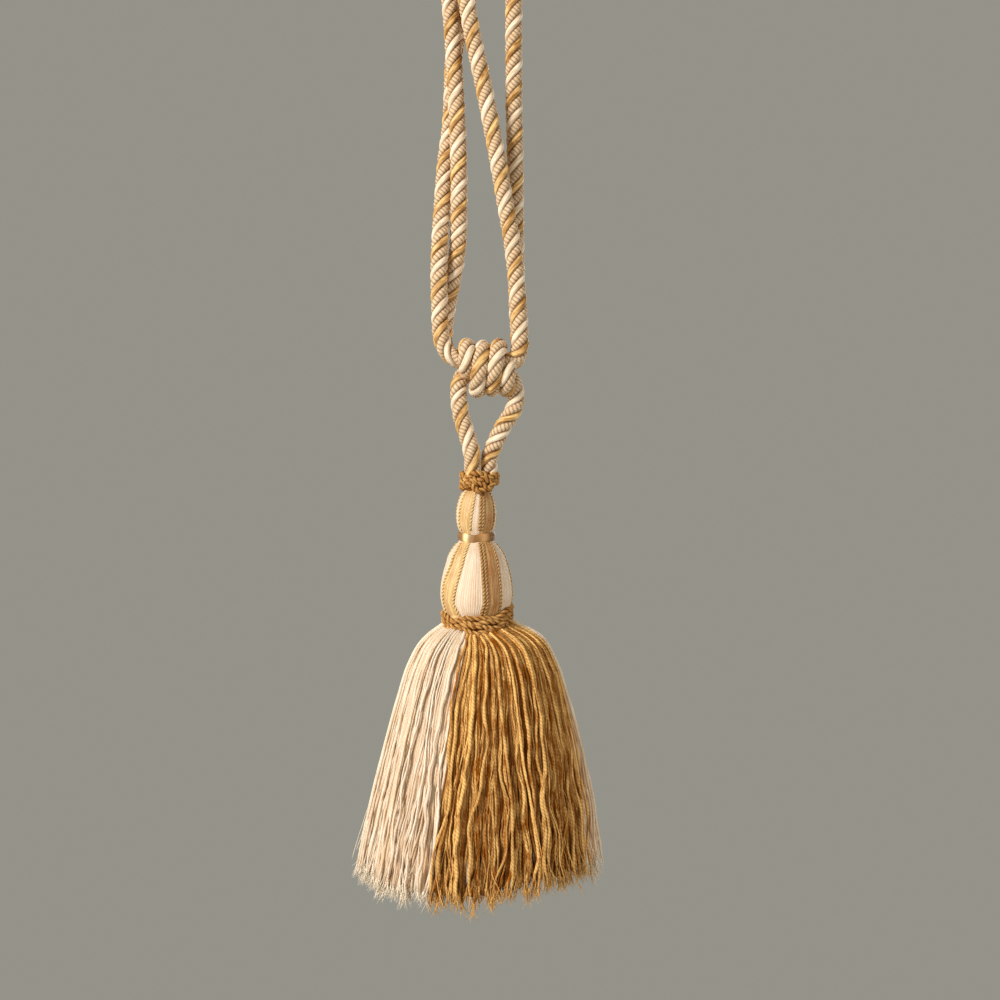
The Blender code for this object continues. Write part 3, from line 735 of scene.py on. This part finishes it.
def skirt_collar(materials, root):
    """Rows of cord round the foot of the head, climbing over one another on the right."""
    def rise(angle, share):
        turned = np.mod(angle + SKIRT_HUMP_FROM, FULL_TURN) - SKIRT_HUMP_FROM
        hump = bell(turned, SKIRT_HUMP_TURN, SKIRT_HUMP_WIDTH)
        return (SKIRT_ROW_LIFT - SKIRT_ROW_DROP * np.cos(angle) * (1 + 0.25 * share)
                + hump * (SKIRT_HUMP - SKIRT_HUMP_LOSS * share))

    bundles = wound_cords(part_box("skirt_collar"), SKIRT_COILS, SKIRT_COLLAR_X, -SKIRT_COLLAR_IN,
                          SKIRT_CORD_RADIUS, SKIRT_CORD_LAY, rise)
    made = add_mesh("skirt_collar_cord", bundles, [materials["gold_cord"]])
    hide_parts("skirt_collar")
    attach(made, root)


# ---- Head ----

def head_profile(count):
    """Height and radius down the head, evenly spaced along its outline."""
    rows = np.array(HEAD_SECTIONS)
    fine_z = np.linspace(rows[0, 0], rows[-1, 0], 400)
    fine_r = hermite(-rows[:, 0], rows[:, 1], -fine_z)
    run = np.concatenate([[0.0], np.cumsum(np.hypot(np.diff(fine_z), np.diff(fine_r)))])
    at = np.linspace(0.0, run[-1], count)
    return np.interp(at, run, fine_z), np.interp(at, run, fine_r), at


def head_point(turn, z, radius):
    """A point on or near the head."""
    return np.stack([HEAD_X + radius * np.sin(turn), -radius * np.cos(turn), z], axis=-1)


def panel_edges(z):
    """The first and last turn of every cream panel at each height, (heights, two a panel)."""
    heights, *edges = np.transpose(PANEL_EDGES)
    return np.radians(np.stack([np.interp(z, heights, edge) for edge in edges], axis=-1))


def head(materials, root):
    """The wound head: fine yarns laid down over panels of cream and gold."""
    cream_threads = THREADS_PER_PAIR - GOLD_THREADS
    cream_columns = cream_threads * COLUMNS_PER_THREAD
    gold_columns = GOLD_THREADS * COLUMNS_PER_THREAD
    z, radius, at = head_profile(HEAD_RINGS)
    edges = panel_edges(z)
    edges = np.concatenate([edges, edges[:, :1] + FULL_TURN], axis=1)[..., None]
    across_cream = np.arange(cream_columns) / cream_columns
    across_gold = np.arange(gold_columns) / gold_columns
    across = [across_cream, across_gold] * PANELS
    turns = np.concatenate([edges[:, i] + (edges[:, i + 1] - edges[:, i]) * part
                            for i, part in enumerate(across)], axis=1)
    bulge = np.sin(math.pi * np.concatenate(across)) ** 0.6
    thread = 0.5 + 0.5 * np.cos(FULL_TURN * np.arange(turns.shape[1]) / COLUMNS_PER_THREAD)
    # Threads and panels are flatter where the head is thin.
    strength = np.clip((radius - 6.0) / 6.0, 0.3, 1.0)[:, None]
    relief = strength * (PANEL_BULGE * (bulge - 1.0) + THREAD_RELIEF * (thread - 1.0))
    rough = HEAD_ROUGHNESS * RANDOM.standard_normal((1, turns.shape[1]))
    total = radius[:, None] + relief + rough
    slots = np.tile([0] * cream_columns + [1] * gold_columns, PANELS)
    # The gold threads take their panel's painted light, and a tone that differs at random.
    thread_shade = np.concatenate([np.repeat((0.5, tone), (cream_threads, GOLD_THREADS))
                                   for tone in GOLD_PAINTED_LIGHT])
    thread_shade = thread_shade + RANDOM.uniform(-THREAD_SHADES, THREAD_SHADES,
                                                 PANELS * THREADS_PER_PAIR)
    thread_shade = np.repeat(clamp(thread_shade), COLUMNS_PER_THREAD)
    # Listed from the foot up, so that the faces look outwards.
    points = head_point(turns[::-1], z[::-1, None] + 0.0 * turns, total[::-1])
    # Painted shade between the threads, through crest.
    bundle = surface(points[None], at[None], thread_shade, 0.45 + 0.55 * thread, slots)
    made = add_mesh("head_yarn", [bundle], [materials["head_cream"], materials["head_gold"]])
    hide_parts("head")
    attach(made, root)


def head_piping(materials, root):
    """Twisted cords down the edges of the head's panels."""
    z, radius, _ = head_profile(PIPING_RINGS)
    edges = panel_edges(z)
    rows = np.stack([np.ones(PANELS, int), PIPING_ROWS], axis=1).ravel()
    # Each cord takes the painted light of the gold panel it borders.
    shades = np.stack([np.roll(GOLD_PAINTED_LIGHT, 1), GOLD_PAINTED_LIGHT], axis=1).ravel()
    bundles = []
    for i, count in enumerate(rows):
        for row in range(count):
            turn = edges[:, i] + row * PIPING_SPACING / np.maximum(radius, 6.0)
            line = head_point(turn, z, radius - PIPING_SUNK)
            for part in (z > PIPING_BREAK[0], (z < PIPING_BREAK[1]) & (z > PIPING_END)):
                bundles.append(twisted_cord(line[part], PIPING_RADIUS, PIPING_LAY, PIPING_STEP,
                                            PIPING_SIDES, shades[i], start=2.0 * i))
    made = add_mesh("head_piping", bundles, [materials["piping"]])
    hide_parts("head")
    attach(made, root)


def waist_ribbon(materials, root):
    """A satin ribbon tied round the waist, a little slack."""
    low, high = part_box("waist_ribbon")
    middle_z = (low.z + high.z) / 2 / MM
    half = (high.z - low.z) / 2 / MM + 0.1
    angle = np.linspace(-math.pi, math.pi, RIBBON_COLUMNS, endpoint=False)
    turned = np.degrees(angle)
    out, up = np.transpose(RIBBON_OUTLINE)
    side = np.abs(np.sin(angle))[:, None] ** 5
    fold = bell(turned, -8, 9)
    sag = 0.55 - 1.25 * np.abs(np.cos(angle)) ** 1.4 - 0.35 * fold
    creases = 0.14 * np.sin(9 * angle + 1.0)[:, None] * np.cos(up * 2.5)
    radius = RIBBON_RADIUS + out + creases + 0.1 * side + 0.2 * fold[:, None]
    points = head_point(angle[:, None], middle_z + sag[:, None] + up * half, radius)
    # Painted light on the satin: two painted glints, two paler stretches, and painted shade
    # between them.
    shade = 0.1 + 0.8 * bell(turned, 27, 15) + 0.5 * bell(turned, -140, 30)
    glint = bell(turned, -36, 10) + 0.7 * bell(turned, 145, 14)
    bundle = surface(points[None], (angle * 8.5)[None], shade[:, None], 1 - 0.95 * glint[:, None],
                     closed=True)
    made = add_mesh("waist_ribbon_satin", [bundle], [materials["ribbon"]])
    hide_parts("waist_ribbon")
    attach(made, root)


# ---- Skirt ----

def skirt_run():
    """The distance down the outside of the skirt at each of its sections, and the sections."""
    rows = np.array(SKIRT_SECTIONS)
    run = np.concatenate([[0.0], np.cumsum(np.hypot(np.diff(rows[:, 0]), np.diff(rows[:, 1])))])
    return run, rows


def yarn_paths(turn, depth, sideways, end_z):
    """The middles of many yarns, (yarns, rings, 3), from under the collar to the hem.

    depth is how far each ring lies inside the skirt's outline, sideways how far off its turn,
    and end_z the height of the cut end.
    """
    run, rows = skirt_run()
    share = np.linspace(0.0, 1.0, depth.shape[1])
    at = share * run[-1]
    z, radius, centre = (hermite(run, rows[:, i], at) for i in range(3))
    hem_turn = turn[:, -1:]
    end_z = end_z - HEM_SAG * clamp(np.cos(hem_turn - HEM_LOWEST)) ** 2
    end_z = end_z + HEM_RISE * clamp(np.sin(2 * hem_turn)) * (np.cos(hem_turn) > 0)
    z = rows[0, 0] + (z - rows[0, 0]) * (end_z - rows[0, 0]) / (rows[-1, 0] - rows[0, 0])
    lift = (SIDE_LIFT * np.abs(np.sin(turn)) ** 1.5 + RIGHT_LIFT * clamp(np.sin(turn))
            - FRONT_DROP * clamp(np.cos(turn)) ** 2)
    z = z + lift * clamp(1 - share / SHOULDER_SHARE)
    near = clamp(1 - np.abs(turn - GOLD_EDGE) / GOLD_REACH)
    # The cream block's own turns run on past a full one.
    facing = sum(clamp(1 - np.abs(turn - edge) / CREAM_REACH)
                 for edge in (CREAM_EDGE, CREAM_EDGE + FULL_TURN))
    out = radius - depth
    angle = (turn + GOLD_SPREAD * near * (1 - share) + CREAM_SPREAD * facing * (1 - share) ** 2
             + sideways / np.maximum(out, 8.0))
    return np.stack([centre + out * np.sin(angle), -out * np.cos(angle), z], axis=-1)


def wave(at, count, amplitude, length):
    """Gentle waves along yarns, each with its own size, length and start."""
    size = RANDOM.uniform(*amplitude, (count, 1))
    return size * np.sin(FULL_TURN * (at / RANDOM.uniform(*length, (count, 1))
                                      + RANDOM.random((count, 1))))


def down_yarn(rings):
    """A yarn's rings: their shares of its run, and their distances along it."""
    share = np.linspace(0.0, 1.0, rings)
    return share, share * skirt_run()[0][-1]


def spread(first, last, count):
    """Turns from first to last, roughly evenly spaced."""
    return first + (last - first) * (np.arange(count) + RANDOM.uniform(0.2, 0.8, count)) / count


def outer_yarns(first, last, bunching):
    """Yarns bunched in locks that gather, part and lean; a few cross over the others."""
    count = OUTER_YARNS
    share, at = down_yarn(OUTER_RINGS)
    lock_turn = spread(first, last, LOCKS)
    lock_half = (last - first) / LOCKS / 2 * RANDOM.uniform(0.9, 1.7, (LOCKS, 1))
    gather = 1 - bunching * RANDOM.uniform(0.15, 0.6, (LOCKS, 1)) * (
        0.5 + wave(at, LOCKS, (0.5, 0.5), (55.0, 150.0)))
    right = clamp(np.sin(lock_turn))[:, None]
    kink = LOCK_KINK * right * np.sin(FULL_TURN * at / LOCK_KINK_RUN + 5 * lock_turn[:, None]
                                      + RANDOM.normal(0.0, 0.7, (LOCKS, 1)))
    lean = (share * wave(at, LOCKS, (0.8, 2.6), (50.0, 110.0)) + share**1.5 * kink
            + share**1.5 * RANDOM.normal(0.0, LOCK_LEAN, (LOCKS, 1)))
    lock_depth = RANDOM.uniform(0.0, LOCK_DEPTH, (LOCKS, 1)) * (0.25 + 0.75 * share)
    lock_end = RANDOM.normal(0.0, LOCK_END, LOCKS)
    lock_shade = RANDOM.uniform(0.2, 0.85, LOCKS)

    lock = np.arange(count) * LOCKS // count
    place = RANDOM.uniform(-1.0, 1.0, (count, 1)) * gather[lock]
    loose = RANDOM.random((count, 1)) < LOOSE_SHARE
    bend = 0.4 + 0.6 * share
    sideways = (lean[lock] + bend * (wave(at, count, (0.1, 0.8), (13.0, 34.0))
                                     + wave(at, count, (0.04, 0.2), (4.8, 8.0)))
                + loose * share**2 * RANDOM.normal(0.0, LOOSE_DRIFT, (count, 1)))
    half = lock_half[lock] * place
    roundness = 0.7 * place**2 * lock_half[lock] * (16.0 + 36.0 * share)
    sunk = RANDOM.uniform(0.0, 1.0, (count, 1)) * ~loose
    depth = (lock_depth[lock] + roundness + 1.7 * sunk * bend
             + bend * wave(at, count, (0.1, 0.5), (12.0, 30.0)))
    depth = np.where(loose, -0.2, depth + 0.3)
    # Painted shade on sunk yarns and deeper locks, through a lower crest.
    crest = 1 - 0.5 * sunk - 0.12 * lock_depth[lock]
    end_z = (HEM_Z + lock_end[lock] + RANDOM.normal(0.0, YARN_END, count))[:, None]
    paths = yarn_paths(lock_turn[lock][:, None] + half, depth, sideways, end_z)
    shade = clamp(lock_shade[lock] + RANDOM.normal(0.0, YARN_SHADE, count) + 0.3 * loose[:, 0])
    thick = OUTER_RADIUS * RANDOM.uniform(0.75, 1.3, (count, 1)) * (0.9 + 0.15 * share)
    nubs = RANDOM.normal(0.0, 1.0, (count, at.shape[-1]))
    nubs = (nubs + np.roll(nubs, 1, axis=1)) / math.sqrt(2)
    thick = thick * (1 + wave(at, count, (0.06, 0.14), (5.5, 12.0)) + NUB_SIZE * nubs
                     + 0.25 * loose)
    thick = thick * (1 - 0.6 * clamp((share - 1 + TIP_SHARE) / TIP_SHARE))
    # Painted highlight: the dye is lighter on the nubs.
    tubes = round_tubes(paths, OUTER_SIDES, thick[..., None],
                        at + RANDOM.uniform(0, UV_SHIFT, (count, 1)),
                        (shade[:, None] + NUB_HIGHLIGHT * nubs)[..., None], crest[..., None])
    return tubes, paths


def inner_yarns(first, last, look):
    """Plainer yarns behind the locks, close enough together to hide what lies inside."""
    count = INNER_YARNS
    share, at = down_yarn(INNER_RINGS)
    turn = spread(first, last, count)
    depth = RANDOM.uniform(3.0, 5.5, (count, 1)) * (0.3 + 0.7 * share)
    paths = yarn_paths(turn[:, None], depth, share * wave(at, count, (0.3, 1.4), (25.0, 60.0)),
                       HEM_Z + RANDOM.uniform(-0.5, 2.0, (count, 1)))
    # Painted shade on the yarns behind the locks, through their lower crest.
    tubes = round_tubes(paths, INNER_SIDES, INNER_RADIUS,
                        at + RANDOM.uniform(0, UV_SHIFT, (count, 1)),
                        look.shade + RANDOM.uniform(-0.2, 0.2, (count, 1, 1)),
                        look.crest + RANDOM.uniform(-0.15, 0.15, (count, 1, 1)))
    return tubes, paths


def core_yarns(first, last):
    """Yarns deep in the skirt, seen only from below."""
    count = CORE_YARNS
    turn = spread(first, last, count)
    share, at = down_yarn(CORE_RINGS)
    depth = RANDOM.uniform(6.5, 10.0, (count, 1)) * (0.4 + 0.6 * share)
    paths = yarn_paths(turn[:, None], depth, share * wave(at, count, (0.3, 1.4), (40.0, 80.0)),
                       HEM_Z + RANDOM.uniform(-0.5, 2.5, (count, 1)))
    # Painted shade: the deep yarns get a darker shade and a low crest.
    return round_tubes(paths, INNER_SIDES, INNER_RADIUS, at,
                       RANDOM.uniform(0.0, 0.5, (count, 1, 1)), 0.5)


def skirt_block(name, first, last, slot, material, root):
    """One block of loose yarns, frayed at the ends, with a few strays."""
    first, last = math.radians(first), math.radians(last)
    look = YARN_LOOKS[slot]
    outer, paths = outer_yarns(first, last, look.bunching)
    inner, inner_paths = inner_yarns(first, last, look)
    core = core_yarns(first, last)
    made = add_mesh(name + "_yarns",
                    [outer, inner, core, fray(paths, OUTER_FRAY), fray(inner_paths, INNER_FRAY),
                     strays(paths)], [material])
    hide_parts(name)
    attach(made, root)


def fray(paths, each):
    """Fine filaments, some for each yarn, where it was cut."""
    count = len(paths) * each
    ends = np.repeat(paths[:, -1], each, axis=0)
    ahead = np.repeat(unit(paths[:, -1] - paths[:, -3]), each, axis=0)
    side = unit(RANDOM.standard_normal((count, 3)))
    side = unit(side - ahead * np.sum(side * ahead, axis=1, keepdims=True))
    length = RANDOM.uniform(1.5, 6.0, (count, 1))
    lean = RANDOM.uniform(0.1, 0.7, (count, 1))
    share = np.linspace(-0.3, 1.0, 5)[None, :, None]
    lines = (ends[:, None] + ahead[:, None] * length[:, None] * share
             + side[:, None] * (length * lean)[:, None] * np.abs(share) * share
             + side[:, None] * 0.2 * (share > -0.3))
    return round_tubes(lines, FRAY_SIDES, FRAY_RADIUS * (1.15 - share), share[..., 0] * 3.0,
                       0.75, 1.0)


def strays(paths):
    """A few thin threads that have worked loose and stand off the skirt."""
    chosen = RANDOM.choice(len(paths), STRAY_THREADS, replace=False)
    base = paths[chosen]
    rings = base.shape[1]
    share = np.linspace(0.0, 1.0, rings)
    start = RANDOM.uniform(0.55, 0.85, (STRAY_THREADS, 1))
    off = clamp((share - start) / (1 - start))
    outward = unit(base * (1.0, 1.0, 0.0))
    sideways = np.cross((0.0, 0.0, 1.0), outward)
    out = RANDOM.uniform(0.8, 5.0, (STRAY_THREADS, 1))[..., None]
    swing = RANDOM.normal(0.0, 4.0, (STRAY_THREADS, 1))[..., None]
    lines = base + outward * (0.5 + out * off[..., None]) + sideways * swing * off[..., None] ** 2
    return round_tubes(lines, INNER_SIDES, STRAY_RADIUS, (share * 100.0)[None], 0.9, 1.0)


# ---- Camera and light ----

def add_camera(hem):
    """A level camera in front of the tassel; hem is the height of its lowest point."""
    camera = bpy.data.objects.new("camera", bpy.data.cameras.new("camera"))
    bpy.context.collection.objects.link(camera)
    camera.location = (CAMERA_X * MM, -CAMERA_DISTANCE * MM, hem + CAMERA_ABOVE_HEM * MM)
    camera.rotation_euler = (math.pi / 2, 0.0, 0.0)
    camera.data.sensor_width = SENSOR_WIDTH
    camera.data.lens = SENSOR_WIDTH * CAMERA_DISTANCE / VIEW_WIDTH
    camera.data.clip_start = 0.01
    bpy.context.scene.camera = camera


def add_light(middle):
    """The lamps round the tassel, and the plain backdrop."""
    for lamp in LAMPS:
        light = bpy.data.lights.new(lamp.name, "AREA")
        light.size = lamp.size
        light.energy = lamp.power
        light.color = lamp.tone
        made = bpy.data.objects.new(lamp.name, light)
        bpy.context.collection.objects.link(made)
        made.location = middle + Vector(lamp.place)
        made.rotation_euler = (-Vector(lamp.place)).to_track_quat("-Z", "Y").to_euler()
    world = bpy.data.worlds.new("studio")
    bpy.context.scene.world = world
    world.use_nodes = True
    background = world.node_tree.nodes["Background"]
    background.inputs["Color"].default_value = colour(BACKDROP_TONE)
    background.inputs["Strength"].default_value = BACKDROP_STRENGTH
    bpy.context.scene.view_settings.view_transform = "Standard"


def add_floor(height):
    """A plain pale disc, below the picture."""
    bpy.ops.mesh.primitive_circle_add(vertices=96, radius=FLOOR_RADIUS * MM, fill_type="NGON",
                                      location=(0.0, 0.0, height))
    floor = bpy.context.object
    floor.name = "floor"
    material = bpy.data.materials.new("floor")
    material.use_nodes = True
    shader = material.node_tree.nodes["Principled BSDF"]
    shader.inputs["Base Color"].default_value = colour(FLOOR_TONE)
    shader.inputs["Roughness"].default_value = 0.9
    floor.data.materials.append(material)


# ---- The scene ----

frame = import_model()
cad_low, cad_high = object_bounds()
ROOT = next(iter(frame["bodies"]))
hem_height = cad_low.z
add_camera(hem_height)
add_light(Vector((0.0, 0.0, hem_height + CAMERA_ABOVE_HEM * MM)))
add_floor(hem_height - FLOOR_BELOW_HEM * MM)

materials = make_materials()
rope_cord("rope_left", LEFT_ROUTE, -20.0, LEFT_TWIST, ["rope_loop_left"], materials, ROOT)
rope_cord("rope_right", RIGHT_ROUTE, 277.0, RIGHT_TWIST, ["rope_loop_right"], materials, ROOT)
rope_cord("rope_hanger", HANGER_ROUTE, 242.0, HANGER_TWIST,
          ["hanger_leg_left", "hanger_leg_right"], materials, ROOT)
slide_knot(materials, ROOT)
top_collar(materials, ROOT)
head(materials, ROOT)
head_piping(materials, ROOT)
waist_ribbon(materials, ROOT)
skirt_collar(materials, ROOT)
for block, (first_turn, last_turn) in BLOCK_TURNS.items():
    yarn = "gold_yarn" if "gold" in block else "cream_yarn"
    skirt_block(block, first_turn, last_turn, yarn, materials[yarn], ROOT)
